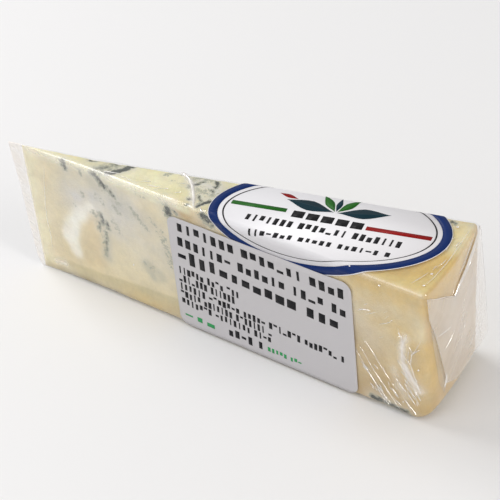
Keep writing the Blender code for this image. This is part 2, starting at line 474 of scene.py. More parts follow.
def put(tree, kind, inputs=None, **settings):
    """Adds a node. An input given as a socket is linked, and any other is set."""
    made = tree.nodes.new(kind)
    for name, value in settings.items():
        setattr(made, name, value)
    for key, value in (inputs or {}).items():
        if isinstance(value, bpy.types.NodeSocket):
            tree.links.new(value, made.inputs[key])
        else:
            made.inputs[key].default_value = value
    return made


def maths(tree, operation, first, second=0.0, clamp=False):
    return put(tree, "ShaderNodeMath", {0: first, 1: second}, operation=operation, use_clamp=clamp).outputs[0]


def blend_colour(tree, factor, first, second, blend_type="MIX"):
    made = put(
        tree, "ShaderNodeMix", {"Factor": factor}, data_type="RGBA", blend_type=blend_type, clamp_factor=True
    )
    for index, value in ((6, first), (7, second)):
        if isinstance(value, bpy.types.NodeSocket):
            tree.links.new(value, made.inputs[index])
        else:
            made.inputs[index].default_value = (*value, 1.0)
    return made.outputs[2]


def noise_at(tree, place, scale, detail=3.0, roughness=0.55):
    made = put(
        tree,
        "ShaderNodeTexNoise",
        {"Vector": place, "Scale": scale, "Detail": detail, "Roughness": roughness},
    )
    return made.outputs["Fac"]


def soft_edge(tree, value, low, high):
    made = put(
        tree,
        "ShaderNodeMapRange",
        {"Value": value, "From Min": low, "From Max": high},
        interpolation_type="SMOOTHSTEP",
    )
    return made.outputs["Result"]


def finish_surface(tree, output, inputs):
    """Ends a material in a Principled shader with these inputs."""
    shader = put(tree, "ShaderNodeBsdfPrincipled", inputs)
    tree.links.new(shader.outputs[0], output.inputs["Surface"])


def object_place(tree, stretch=(1.0, 1.0, 1.0), turn=(0.0, 0.0, 0.0)):
    """Object coordinates for a pattern that is drawn out along its own axes and then turned."""
    coordinates = put(tree, "ShaderNodeTexCoord").outputs["Object"]
    inputs = {"Vector": coordinates, "Scale": stretch, "Rotation": turn}
    return put(tree, "ShaderNodeMapping", inputs, vector_type="TEXTURE").outputs["Vector"]


def attribute_value(tree, name, output="Fac"):
    return put(tree, "ShaderNodeAttribute", attribute_name=name).outputs[output]


def bumped(tree, height, distance, strength=1.0):
    made = put(tree, "ShaderNodeBump", {"Height": height, "Distance": distance, "Strength": strength})
    return made.outputs["Normal"]


def cheese_material():
    """Waxy marbled paste. The mesh carries its zones of colour and how much mould there is."""
    colour = colours()
    material, tree, output = new_material("marbled_cheese")
    place = object_place(tree)
    tone = attribute_value(tree, "tone", "Color")
    mould = attribute_value(tree, "mould")
    cloud = noise_at(tree, place, 160.0, 4.0)
    crumb = noise_at(tree, place, 900.0, 5.0, 0.65)
    fleck = noise_at(tree, place, 2600.0, 3.0, 0.6)
    lightness = maths(tree, "ADD", maths(tree, "MULTIPLY", cloud, 0.46), maths(tree, "MULTIPLY", crumb, 0.24))
    shade = maths(tree, "ADD", lightness, 0.65)
    grey = put(tree, "ShaderNodeCombineColor", {0: shade, 1: shade, 2: shade}).outputs[0]
    shaded = blend_colour(tree, 1.0, tone, grey, "MULTIPLY")
    ragged = maths(tree, "ADD", mould, maths(tree, "MULTIPLY", maths(tree, "SUBTRACT", crumb, 0.5), 2.4))
    grained = maths(tree, "ADD", ragged, maths(tree, "MULTIPLY", maths(tree, "SUBTRACT", fleck, 0.5), 0.9))
    present = soft_edge(tree, mould, 0.04, 0.22)
    halo = maths(tree, "MULTIPLY", soft_edge(tree, grained, 0.20, 0.62), present)
    thick = soft_edge(tree, mould, 0.42, 0.80)
    heart = maths(tree, "MULTIPLY", soft_edge(tree, grained, 0.58, 0.92), thick)
    veined = blend_colour(tree, maths(tree, "MULTIPLY", halo, 0.85), shaded, colour.vein_pale)
    veined = blend_colour(tree, maths(tree, "MULTIPLY", heart, 0.96), veined, colour.vein_dark)
    pits = maths(tree, "SUBTRACT", crumb, maths(tree, "MULTIPLY", heart, 0.7))
    waxy = put(tree, "ShaderNodeMapRange", {"Value": crumb, "To Min": 0.38, "To Max": 0.62})
    inputs = {
        "Base Color": veined,
        "Roughness": waxy.outputs["Result"],
        "Subsurface Weight": 0.25,
        "Subsurface Radius": (1.0, 0.75, 0.45),
        "Subsurface Scale": 1.5 * MM,
        "Normal": bumped(tree, pits, 0.25 * MM),
    }
    finish_surface(tree, output, inputs)
    return material


def film_material(name, grain=SIDE_GRAIN, sheen=0.09, dulling=0.4, streaks=0.6, relief=0.30, fineness=300.0):
    """Film that shines more at a glance: clear face on, milky and duller where it is folded or bunched.

    The inner skin is left clear, so that a closed sheet shades as one layer.
    """
    material, tree, output = new_material(name)
    ripple = noise_at(tree, object_place(tree, *grain), 110.0, 3.0)
    crinkle = noise_at(tree, object_place(tree, (1.0, 1.0, 2.2)), 420.0, 2.0)
    swell = maths(tree, "ADD", ripple, maths(tree, "MULTIPLY", crinkle, 0.2))
    normal = bumped(tree, swell, relief * MM)
    milk = attribute_value(tree, "milk")
    streak = soft_edge(tree, noise_at(tree, object_place(tree, *grain), fineness, 5.0, 0.65), 0.30, 0.66)
    broken = maths(tree, "ADD", maths(tree, "MULTIPLY", streak, streaks), 0.95 - streaks * 0.55)
    cloudy = maths(tree, "MULTIPLY", milk, broken, clamp=True)
    glance = put(tree, "ShaderNodeLayerWeight", {"Blend": 0.5, "Normal": normal}).outputs["Facing"]
    grazing = maths(tree, "MULTIPLY", maths(tree, "POWER", glance, 5.0), 0.9)
    shine = maths(tree, "ADD", grazing, sheen, clamp=True)
    dull = maths(tree, "ADD", maths(tree, "MULTIPLY", milk, dulling), 0.10, clamp=True)
    clear = put(tree, "ShaderNodeBsdfTransparent", {"Color": (0.985, 0.985, 0.985, 1.0)}).outputs[0]
    mirror = {"Color": (1.0, 1.0, 1.0, 1.0), "Roughness": dull, "Normal": normal}
    gloss = put(tree, "ShaderNodeBsdfGlossy", mirror).outputs[0]
    white = put(tree, "ShaderNodeBsdfDiffuse", {"Color": (*colours().film_white, 1.0)}).outputs[0]
    body = put(tree, "ShaderNodeMixShader", {0: cloudy, 1: clear, 2: white}).outputs[0]
    skin = put(tree, "ShaderNodeMixShader", {0: shine, 1: body, 2: gloss}).outputs[0]
    inside = put(tree, "ShaderNodeNewGeometry").outputs["Backfacing"]
    shader = put(tree, "ShaderNodeMixShader", {0: inside, 1: skin, 2: clear}).outputs[0]
    tree.links.new(shader, output.inputs["Surface"])
    return material


def paper_material(name, colour, roughness, tint):
    """Label paper: a faint cloud of tint, and fibres in its relief."""
    material, tree, output = new_material(name)
    place = object_place(tree)
    fibre = noise_at(tree, place, 1500.0, 4.0, 0.7)
    cloud = noise_at(tree, place, 45.0, 2.0)
    mixed = blend_colour(tree, maths(tree, "MULTIPLY", cloud, 0.5), tuple(colour), tint)
    darker = tuple(c * 0.72 for c in colour)
    speckled = blend_colour(tree, maths(tree, "MULTIPLY", fibre, 0.10), mixed, darker)
    relief = bumped(tree, fibre, 0.02 * MM)
    finish_surface(tree, output, {"Base Color": speckled, "Roughness": roughness, "Normal": relief})
    return material


def ink_material(name, colour, roughness=0.42):
    """Printed ink: slightly starved and mottled, as print on label paper is."""
    material, tree, output = new_material(name)
    place = object_place(tree)
    starved = soft_edge(tree, noise_at(tree, place, 3200.0, 3.0, 0.7), 0.60, 0.85)
    mottle = noise_at(tree, place, 350.0, 3.0)
    lighter = tuple(min(1.0, c * 1.25 + 0.003) for c in colour)
    base = blend_colour(tree, mottle, tuple(colour), lighter)
    worn = blend_colour(tree, maths(tree, "MULTIPLY", starved, 0.12), base, (0.62, 0.61, 0.62))
    finish_surface(tree, output, {"Base Color": worn, "Roughness": roughness, "Specular IOR Level": 0.10})
    return material


# The cheese


def vein_strokes():
    """The veins that show, as (face, points on it, radius, strength)."""
    return [
        (on_near, ((15.6, 45.2), (16.4, 42.4)), 1.15, 1.15),
        (on_near, ((22.2, 43.8), (22.6, 42.0)), 0.9, 0.66),
        (on_near, ((27.4, 44.2), (29.3, 42.6), (31.0, 40.6)), 1.4, 0.98),
        (on_near, ((21.9, 35.3), (22.0, 34.6)), 0.9, 0.66),
        (on_near, ((27.6, 36.0), (29.4, 34.4)), 1.6, 0.36),
        (on_near, ((34.2, 34.4), (35.6, 32.8)), 0.9, 0.78),
        (on_near, ((25.2, 28.9), (27.6, 29.0)), 1.3, 0.58),
        (on_near, ((28.0, 29.4), (28.4, 27.0)), 1.1, 1.02),
        (on_near, ((26.8, 26.2), (26.6, 23.6)), 1.0, 0.80),
        (on_near, ((30.0, 27.2), (30.2, 25.4)), 1.0, 0.92),
        (on_near, ((28.8, 23.4), (28.2, 19.4), (27.6, 14.6)), 1.1, 0.72),
        (on_near, ((32.0, 41.0), (34.6, 38.4)), 1.4, 0.74),
        (on_near, ((33.6, 36.6), (36.4, 36.4)), 1.2, 0.50),
        (on_near, ((34.4, 26.6), (35.2, 24.8)), 0.9, 0.52),
        (on_near, ((32.6, 29.6), (33.6, 27.2)), 1.2, 0.38),
        (on_near, ((17.8, 29.6), (18.2, 29.0)), 0.7, 0.40),
        (on_near, ((43.4, 42.4), (46.6, 42.6)), 1.1, 0.42),
        (on_near, ((54.6, 41.8), (55.0, 39.8)), 1.7, 0.95),
        (on_near, ((57.2, 41.6), (57.8, 41.0)), 0.7, 1.0),
        (on_near, ((67.6, 43.8), (70.4, 42.4)), 1.7, 1.0),
        (on_top, ((23.6, 1.8), (25.4, 2.1)), 0.95, 1.2),
        (on_top, ((27.6, 2.6), (29.4, 3.1)), 0.6, 0.95),
        (on_top, ((32.2, -2.2), (35.2, 0.6), (37.0, 3.2)), 1.1, 1.5),
        (on_top, ((27.0, -2.7), (30.0, 0.2), (32.6, 3.0)), 1.6, 0.70),
        (on_top, ((30.0, -2.4), (33.0, 1.0)), 1.6, 0.62),
        (on_top, ((48.2, 3.2), (50.2, 5.6)), 0.8, 0.64),
        (on_top, ((51.6, 1.6), (52.6, 2.0)), 0.6, 0.46),
        (on_top, ((53.4, 6.0), (57.4, 5.0), (61.4, 6.4)), 1.7, 0.50),
        (on_top, ((58.4, 2.5), (59.4, 3.2)), 0.9, 1.05),
        (on_top, ((59.6, 4.4), (60.6, 4.8)), 0.7, 0.85),
        (on_top, ((63.4, 6.9), (64.6, 5.0), (64.8, 3.6)), 0.9, 1.0),
        (on_top, ((64.6, 2.2), (65.2, 1.4)), 0.8, 0.9),
        (on_top, ((57.2, 1.5), (57.8, 1.0)), 0.9, 0.70),
        (on_top, ((60.6, 0.4), (66.0, 0.6)), 2.0, 0.52),
        (on_top, ((62.4, -1.7), (64.0, -3.3)), 0.6, 1.05),
        (on_top, ((64.4, -6.0), (64.8, -4.8), (66.4, -2.7)), 0.75, 1.3),
        (on_top, ((60.8, -3.8), (61.0, -3.6)), 0.8, 1.25),
        (on_top, ((61.0, -6.7), (61.7, -6.4)), 0.6, 1.2),
        (on_near, ((40.4, 37.2), (43.0, 33.8), (46.0, 31.0)), 1.1, 0.50),
        (on_near, ((47.0, 35.6), (49.8, 33.4)), 1.0, 0.42),
        (on_near, ((50.6, 32.0), (52.6, 25.8), (53.6, 20.8)), 1.6, 0.46),
        (on_near, ((43.2, 17.4), (46.6, 16.4)), 1.8, 0.30),
        (on_near, ((121.5, 1.9), (132.3, 1.2)), 1.45, 1.0),
        (on_top, ((137.7, 15.3),), 0.7, 0.8),
        (on_top, ((131.8, 14.6), (133.0, 14.0)), 1.0, 1.0),
        (on_end, ((1.2, 33.6), (-1.6, 32.6)), 0.7, 0.60),
    ]


def hidden_veins():
    """Wandering veins for the far side and the base, which aren't in view, from a seeded draw."""
    draw = random.Random(VEIN_SEED)
    veins = []
    for column in range(12):
        for face in (on_far, on_base):
            along = 14.0 + 9.8 * column + draw.uniform(-3.0, 3.0)
            level = draw.uniform(0.18, 0.82)
            points = []
            for _ in range(draw.choice((2, 3, 4))):
                if face is on_base:
                    half = along * math.sin(sizes().half_apex)
                    points.append((along, (level * 2.0 - 1.0) * half))
                else:
                    points.append((along, level * sizes().height / MM))
                along += draw.uniform(1.0, 4.6)
                level = min(0.92, max(0.08, level + draw.uniform(-0.16, 0.16)))
            veins.append((face, points, draw.uniform(0.8, 2.1), draw.uniform(0.5, 0.95)))
    return veins


def tone_strokes():
    """Zones of colour, as (face, points on it, radius, colour, strength, how sharply it ends)."""
    colour = colours()
    return [
        (on_near, ((1.6, 6.0), (1.0, 42.0)), 5.4, colour.curd, 0.85, 2),
        (on_near, ((20.0, 33.0), (30.0, 34.0), (37.0, 35.0)), 7.5, colour.ash, 0.85, 2),
        (on_near, ((36.0, 27.0), (50.0, 24.0)), 9.0, colour.ash, 0.40, 2),
        (on_near, ((44.4, 16.2), (47.4, 14.8)), 3.0, colour.vein_pale, 0.34, 4),
        (on_near, ((43.6, 17.0), (45.4, 13.0)), 1.2, colour.vein_pale, 0.30, 2),
        (on_near, ((24.0, 30.4), (19.6, 26.6)), 2.3, colour.milk, 0.90, 4),
        (on_near, ((19.6, 26.6), (15.8, 21.6), (13.6, 16.4)), 3.3, colour.milk, 0.95, 4),
        (on_near, ((13.6, 16.4), (15.2, 11.2)), 2.7, colour.milk, 0.95, 4),
        (on_near, ((25.4, 26.2), (23.6, 21.4)), 3.2, colour.peach, 0.85, 4),
        (on_near, ((23.2, 20.4), (22.2, 11.4)), 4.8, colour.peach, 0.85, 5),
        (on_near, ((28.4, 28.0), (29.4, 24.0), (28.2, 14.0)), 2.0, colour.vein_pale, 0.32, 2),
        (on_near, ((26.0, 42.0), (30.0, 40.0), (36.0, 37.0)), 3.4, colour.vein_pale, 0.36, 2),
        (on_near, ((33.0, 33.6), (40.0, 34.0)), 3.0, colour.vein_pale, 0.14, 2),
        (on_top, ((27.0, -2.0), (31.0, 0.6), (35.0, 2.0)), 2.4, colour.vein_pale, 0.40, 2),
        (on_near, ((8.0, 9.0), (30.0, 2.0)), 6.0, colour.butter, 0.16, 2),
        # Bisque along the foot by the rind: the paste's brownish tone, and painted shade darkening it towards
        # the floor.
        (on_near, ((118.0, 3.0), (139.0, 2.6)), 5.6, colour.bisque, 0.82, 2),
        (on_near, ((58.0, 43.0), (88.0, 43.0)), 3.2, colour.butter, 0.55, 2),
        (on_near, ((120.0, 43.0), (138.0, 42.0)), 4.5, colour.butter, 0.60, 2),
        # Bisque low on the near side by the rind, here and two lines on: brownish paste, with painted shade
        # deepening downward.
        (on_near, ((124.0, 12.0), (133.0, 8.0)), 9.0, colour.bisque, 0.34, 2),
        (on_near, ((122.0, 34.0), (128.0, 14.0)), 14.0, colour.butter, 0.58, 2),
        (on_near, ((118.0, 18.0), (126.0, 8.0)), 9.0, colour.bisque, 0.56, 2),
        (on_near, ((130.6, 31.4), (134.4, 27.6)), 3.4, colour.butter, 0.40, 2),
        (on_near, ((133.0, 7.4), (135.4, 7.0)), 4.0, colour.butter, 0.35, 2),
        (on_near, ((118.0, 30.0), (122.0, 24.0)), 5.0, colour.ash, 0.25, 2),
        (on_near, ((36.0, 2.0), (56.0, 3.0)), 4.0, colour.butter, 0.42, 2),
        (on_near, ((135.0, 16.0), (138.6, 25.0)), 3.6, colour.butter, 0.75, 3),
        (on_near, ((138.0, 22.0), (138.6, 12.0)), 3.0, colour.bisque, 0.45, 2),
        # Painted highlight: a pale band along the near top edge, where the film over the rounded edge catches
        # the light.
        (
            on_near,
            ((8.0, 44.4), (26.0, 44.8), (40.0, 44.0), (52.0, 43.2), (62.0, 43.5)),
            1.5,
            colour.painted_edge_highlight,
            0.80,
            3,
        ),
        (on_near, ((56.6, 41.8), (67.5, 40.8)), 1.3, colour.bisque, 0.70, 3),
        (on_top, ((134.0, -13.0), (135.5, 0.0), (133.0, 14.0)), 10.0, colour.butter, 0.60, 2),
        (on_top, ((116.0, -13.0), (128.0, -9.0), (135.0, -3.0)), 4.0, colour.butter, 0.95, 2),
        (on_top, ((118.0, -12.0), (128.5, -9.0), (136.0, -4.0)), 2.8, colour.bisque, 0.50, 2),
        (on_top, ((138.0, 4.0), (138.0, 14.0)), 2.4, colour.curd, 0.55, 2),
        (on_top, ((135.0, -8.0), (137.4, -2.0)), 3.0, colour.butter, 0.85, 2),
        (on_top, ((40.0, 0.0), (50.0, 0.5)), 5.0, colour.milk, 0.25, 2),
        (on_top, ((58.0, 4.0), (66.0, 3.0)), 3.6, colour.ash, 0.75, 2),
        (on_top, ((63.0, -2.0), (67.0, -2.0)), 2.4, colour.ash, 0.55, 2),
        (on_end, ((-12.0, 14.0), (-12.6, 24.0)), 4.0, colour.butter, 0.70, 2),
    ]


def plain_tones(places, normals):
    """The paste's colour under its zones and veins: by face, wet near the point, with painted shade at the
    foot, and darker at the rind.
    """
    colour = colours()
    upward = smooth_step(0.25, 0.85, normals[:, 2])[:, None]
    tones = np.array(colour.side_cream) * (1.0 - upward) + np.array(colour.top_cream) * upward
    to_rind = sizes().wheel_radius - np.linalg.norm(places[:, :2], axis=1)
    along, up = places[:, 0] / MM, places[:, 2] / MM
    near = smooth_step(0.5, 0.8, -normals[:, 1])
    wet_line = 4.6 + 0.075 * along + noise_field(places * (1.0, 1.0, 0.0), 60.0, 8) * 0.6
    wet = (smooth_step(0.5, -0.5, up - wet_line) * near * smooth_step(72.0, 66.0, along))[:, None]
    tones = tones * (1.0 - wet * np.array((0.20, 0.20, 0.28)))
    # Painted shade: the paste darkens and warms in the lowest 3 mm, where the side meets the floor.
    foot = smooth_step(3.0, 0.6, up)[:, None]
    tones = tones * (1.0 - foot * np.array((0.34, 0.38, 0.44)))
    rind = smooth_step(1.6 * MM, 0.5 * MM, to_rind)[:, None] * 0.75
    return tones * (1.0 - rind) + np.array(colour.rind) * rind


def paint_cheese(bm, places, normals):
    """Stores the zones of colour and the mould on the cheese's mesh."""
    tones = plain_tones(places, normals)
    mottle = 1.0 + noise_field(places, 260.0, 12) * 0.35 + noise_field(places, 700.0, 13) * 0.25
    for face, points, radius, shade, strength, sharpness in tone_strokes():
        there = stroke(places, face, points, radius, sharpness)
        weight = np.clip(there * strength * mottle, 0.0, 1.0)[:, None]
        tones = tones * (1.0 - weight) + np.array(shade) * weight
    mould = np.zeros(len(places))
    stain = np.zeros(len(places))
    for face, points, radius, strength in vein_strokes() + hidden_veins():
        mould = np.maximum(mould, stroke(places, face, points, radius) * strength)
        stain = np.maximum(stain, stroke(places, face, points, radius * 2.3) * strength)
    stain = (stain * 0.50)[:, None]
    tones = tones * (1.0 - stain) + np.array(colours().ash) * stain
    write_colours(bm, "tone", tones)
    write_attribute(bm, "mould", mould)
    return mould


def build_cheese():
    """The paste: the film's form drawn in a little, with a cut surface that dips where the mould grows."""
    bm = cut_box(CHEESE_CUTS)
    places = wedge_form(get_places(bm), 0.4 * MM, sizes().film_gap)
    set_places(bm, places)
    bmesh.ops.recalc_face_normals(bm, faces=bm.faces)
    normals = get_normals(bm)
    mould = paint_cheese(bm, places, normals)
    swell = noise_field(places, 90.0, 1) * 0.10 + noise_field(places, 420.0, 2) * 0.07
    pitted = smooth_step(0.25, 0.8, mould) * (0.5 + noise_field(places, 900.0, 3)) * 0.45
    thin = smooth_step(4.0 * MM, 14.0 * MM, places[:, 0])
    set_places(bm, places + normals * ((swell - 0.08 - pitted) * thin * MM)[:, None])
    piece = finish_mesh("cheese", bm, [cheese_material()])
    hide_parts("wrapped_wedge")


# The film


def film_creases():
    """Soft folds of the tight film, as (face, points on it, radius, height, milkiness)."""
    return [
        # Partly painted glare: the top's transverse crease is whitened where the film shines across it.
        (on_top, ((52.6, 6.0), (57.8, 2.2), (64.0, -7.6)), 0.9, 0.22, 0.50),
        (on_near, ((133.4, 29.0), (132.2, 24.3), (132.2, 19.2)), 1.5, 0.26, 0.56),
        (on_near, ((132.4, 19.6), (134.4, 15.8), (136.8, 11.4)), 1.9, 0.26, 0.56),
        (on_near, ((129.4, 16.0), (130.8, 10.6), (132.4, 7.6)), 1.8, 0.16, 0.34),
        (on_near, ((119.0, 16.0), (127.0, 5.0)), 3.6, 0.06, 0.08),
        (on_near, ((118.5, 34.0), (129.0, 36.0)), 4.2, 0.05, 0.12),
        (on_near, ((118.5, 30.0), (124.0, 22.0)), 4.0, 0.05, 0.09),
        (on_near, ((126.0, 27.0), (135.5, 22.0)), 3.8, 0.10, 0.10),
        (on_near, ((136.0, 40.0), (137.5, 26.0)), 2.6, 0.05, 0.08),
        # Painted highlight along the near top edge, and on the next line a painted glint low near the point.
        (on_near, ((4.0, 44.6), (30.0, 45.0), (56.0, 45.2)), 1.6, 0.06, 0.26),
        (on_near, ((6.0, 4.0), (9.5, 4.4)), 1.2, 0.12, 0.55),
        (on_far, ((118.0, 6.0), (134.0, 24.0)), 1.4, 0.25, 0.40),
        (on_far, ((110.0, 3.0), (136.0, 12.0)), 1.6, 0.22, 0.34),
    ]


def film_ridges():
    """Sharp raised lines of the film, as (face, points on it, width, height)."""
    return [
        # Partly painted glare: the broad crease across the top is whitened where the film shines.
        (on_top, ((52.4, 6.2), (56.1, 3.8), (57.8, 2.2), (60.7, -2.0), (64.0, -7.4)), 0.85, 0.30),
        (on_top, ((52.4, 6.2), (54.6, 4.8)), 1.1, 0.32),
        (on_top, ((65.4, -6.4), (66.6, -7.6), (67.6, -8.0)), 0.50, 0.20),
        (on_top, ((137.0, -13.6), (138.2, -3.0), (138.0, 12.4)), 0.20, 0.08),
        (on_top, ((133.4, -13.8), (135.6, -8.0)), 0.20, 0.08),
        (on_near, ((133.8, 30.2), (132.2, 24.6), (132.2, 19.2)), 0.50, 0.20),
        (on_near, ((132.2, 19.6), (134.4, 16.0), (137.4, 11.2)), 0.46, 0.20),
        (on_near, ((117.0, 17.8), (122.2, 9.1), (127.8, 2.6)), 0.20, 0.08),
        (on_near, ((118.4, 19.4), (124.4, 10.2), (130.6, 2.2)), 0.18, 0.07),
        (on_near, ((119.2, 13.2), (123.6, 6.8), (126.0, 2.0)), 0.16, 0.06),
        (on_near, ((120.0, 22.4), (128.0, 11.0)), 0.15, 0.06),
        (on_near, ((138.2, 30.0), (134.6, 21.0), (136.6, 14.0)), 0.22, 0.10),
        (on_near, ((8.0, 40.0), (5.4, 24.0), (5.0, 9.0)), 0.18, 0.06),
        # Partly painted highlight: the broad rim of the upper ear is whitened along its fold.
        (on_ear, ((16.4, 44.5), (10.8, 41.8), (4.2, 38.5), (-2.8, 34.8)), 0.90, 0.50),
        (on_ear, ((-17.0, 44.1), (-9.8, 39.6), (-2.4, 34.9)), 0.20, 0.08),
        (on_end, ((11.0, 44.0), (1.4, 39.2)), 0.20, 0.10),
        (on_near, ((134.6, 23.2), (137.8, 26.4)), 0.30, 0.12),
        (on_ear, ((-13.0, 28.6), (-9.6, 27.7), (-5.4, 27.0)), 0.30, 0.12),
        (on_ear, ((-10.4, 20.6), (-3.0, 25.6)), 0.16, 0.08),
        (on_ear, ((14.6, 38.0), (9.0, 24.0), (11.6, 9.0)), 0.18, 0.08),
        (on_ear, ((-8.3, 12.4), (-8.6, 10.2), (-9.6, 8.4)), 0.50, 0.24),
        # Short ridges where the film glints: their milky white is a painted glint on small real bumps.
        (on_top, ((134.0, 12.5), (134.7, 12.9)), 0.50, 0.14),
        (on_top, ((136.2, -8.4), (136.8, -7.9)), 0.52, 0.14),
        (on_top, ((136.4, -13.6), (137.0, -13.1)), 0.42, 0.14),
        (on_top, ((115.2, -13.5), (115.9, -13.6)), 0.48, 0.14),
        (on_near, ((125.6, 43.3), (126.3, 43.4)), 0.48, 0.14),
        (on_near, ((38.0, 15.0), (38.5, 15.6)), 0.42, 0.12),
        (on_near, ((136.8, 18.6), (137.3, 19.2)), 0.50, 0.16),
        (on_near, ((131.4, 5.0), (132.0, 5.4)), 0.42, 0.14),
        (on_far, ((20.0, 8.0), (60.0, 30.0), (96.0, 41.0)), 0.34, 0.14),
        (on_far, ((112.0, 6.0), (128.0, 20.0), (136.0, 34.0)), 0.36, 0.16),
        (on_far, ((118.0, 4.0), (136.0, 14.0)), 0.32, 0.14),
    ]


def wrinkle_fields():
    """Patches of fine wrinkles, as (face, start, end, spread, lean in degrees, count)."""
    return [
        (on_near, (133.0, 28.0), (132.2, 18.0), 1.4, 98.0, 18),
        (on_near, (132.0, 17.0), (136.0, 9.0), 2.4, 118.0, 28),
        (on_near, (127.0, 12.0), (134.0, 4.0), 3.0, 126.0, 22),
        (on_near, (118.0, 14.0), (126.0, 4.0), 2.0, 127.0, 14),
        (on_near, (118.5, 31.0), (131.0, 34.0), 3.5, 30.0, 12),
        (on_top, (132.0, -12.0), (137.5, 8.0), 2.0, 84.0, 16),
        (on_top, (8.0, 0.0), (60.0, -2.0), 2.6, 20.0, 16),
        (on_ear, (2.0, 30.0), (8.0, 10.0), 5.0, 42.0, 4),
        (on_far, (112.0, 18.0), (134.0, 20.0), 7.0, 120.0, 20),
        (on_far, (14.0, 20.0), (70.0, 24.0), 9.0, 20.0, 14),
    ]


def fine_wrinkles():
    """Short straight ridges scattered over the patches, from a seeded draw, told as the sharp creases are."""
    draw = random.Random(WRINKLE_SEED)
    ridges = []
    for face, start, end, spread, lean, count in wrinkle_fields():
        for _ in range(count):
            share = draw.random()
            middle = [a + (b - a) * share + draw.gauss(0.0, spread) for a, b in zip(start, end)]
            turn = math.radians(lean + draw.gauss(0.0, 14.0))
            half = draw.uniform(0.5, 2.6)
            step = (math.cos(turn) * half, math.sin(turn) * half)
            line = (
                (middle[0] - step[0], middle[1] - step[1]),
                tuple(middle),
                (middle[0] + step[0], middle[1] + step[1]),
            )
            if ridge_fits(face, line):
                ridges.append((face, line, draw.uniform(0.12, 0.26), 0.09))
    return ridges


def ridge_fits(face, line):
    """Whether a ridge stays on its face, clear of the labels and of the rounded edges."""
    height = sizes().height / MM
    for along, up in line:
        if face is on_ear:
            inside = abs(along) < 15.0 and 7.0 < up < 30.0
        elif face is on_top:
            inside = 5.0 < along < 138.5 and abs(up) < along * sizes().half_apex - 1.5
            inside = inside and not 64.0 < along < 136.0 - abs(up + 4.0) * 0.3
        else:
            inside = 4.0 < along < 137.5 and 1.5 < up < height - 2.0
            inside = inside and not (face is on_near and 53.5 < along < 118.0)
        if not inside:
            return False
    return True


def milky_and_highlight_zones():
    """Where the film is a little cloudy over a wider patch, as (face, points on it, radius, milkiness). Along
    the near top edge it is painted highlight.
    """
    return [
        (on_near, ((20.0, 31.0), (36.0, 34.0)), 8.0, 0.16),
        (on_near, ((128.0, 20.0), (134.0, 12.0)), 7.0, 0.10),
        (on_end, ((6.0, 26.0), (8.0, 14.0)), 9.0, 0.10),
        # Painted highlight: the last two zones whiten the film along the near top edge, where it catches the
        # light over the rounded edge.
        (on_near, ((3.0, 45.0), (58.0, 45.4)), 2.0, 0.36),
        (on_near, ((118.0, 45.2), (139.0, 45.2)), 0.9, 0.30),
    ]


def outward_of(face):
    """The outward direction of one of the wedge's faces, given the function that finds places on it."""
    turned = {on_top: Vector((0.0, 0.0, 1.0)), on_near: side_outward(-1), on_far: side_outward(1)}
    return np.array(turned.get(face, Vector((1.0, 0.0, 0.0))))


def smooth_route(points, count):
    """Evenly counted points of a smooth curve through the given ones."""
    points = np.array(points, dtype=float)
    steps = np.r_[0.0, np.cumsum(np.linalg.norm(np.diff(points, axis=0), axis=1))]
    padded = np.vstack((2 * points[0] - points[1], points, 2 * points[-1] - points[-2]))
    route = []
    for place in np.linspace(0.0, steps[-1], count):
        index = min(int(np.searchsorted(steps, place, side="right")) - 1, len(points) - 2)
        share = (place - steps[index]) / (steps[index + 1] - steps[index])
        before, start, end, after = padded[index : index + 4]
        route.append(
            0.5
            * (
                2 * start
                + (end - before) * share
                + (2 * before - 5 * start + 4 * end - after) * share**2
                + (3 * start - before - 3 * end + after) * share**3
            )
        )
    return route


def add_ridge(bm, face, points, width, height):
    """A slender raised line along a face, thin at both ends. Broad ones are whiter, a white that is partly
    bunched film and partly painted highlight, and high ones sharper.
    """
    cuts = max(4, int(sum(math.dist(a, b) for a, b in zip(points, points[1:])) / RIDGE_STEP))
    strip = cut_box((cuts, 1, 0))
    places = get_places(strip)
    stations = np.round((places[:, 0] + 1.0) / 2.0 * (cuts + 1)).astype(int)
    route = np.array([face(*point) for point in smooth_route(points, cuts + 2)])
    ahead = np.gradient(route, axis=0)
    normal = outward_of(face)
    across = np.cross(normal, ahead)
    across /= np.linalg.norm(across, axis=1)[:, None]
    belly = np.sin(np.linspace(0.0, math.pi, cuts + 2)) ** 0.6
    thin = RIDGE_THIN_END + (1.0 - RIDGE_THIN_END) * belly
    wander = np.array([noise.noise(Vector(point * 0.3)) * 0.25 for point in route])
    crest = places[:, 2] > 0
    side = places[:, 1] * width / 2 * np.where(crest, RIDGE_CREST_SHARE, 1.0) * thin[stations]
    drop = width * RIDGE_SLOPE + max(0.0, height - RIDGE_STEEP_ABOVE) * RIDGE_STEEPNESS
    shoulder = height * thin[stations] - np.abs(places[:, 1]) * drop
    rise = np.where(crest, shoulder, -RIDGE_SUNK)
    moved = route[stations] + across[stations] * (side + wander[stations])[:, None] + rise[:, None] * normal
    set_places(strip, moved * MM)
    # Broad and glint ridges get more milky white: bunched film, and in part a painted highlight.
    write_attribute(strip, "milk", [min(0.95, 0.12 + width * 1.6)] * len(moved))
    mesh = bpy.data.meshes.new("ridge")
    strip.to_mesh(mesh)
    strip.free()
    bm.from_mesh(mesh)
    bpy.data.meshes.remove(mesh)


def build_ridges():
    """The film's sharp creases, as slender raised lines of bunched film."""
    bm = bmesh.new()
    for face, points, width, height in film_ridges() + fine_wrinkles():
        add_ridge(bm, face, points, width, height)
    creased = film_material("creased_film", sheen=0.38, dulling=0.0, streaks=0.3)
    piece = finish_mesh("film_ridges", bm, [creased], smooth_angle=80.0)
    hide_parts("wrapped_wedge")


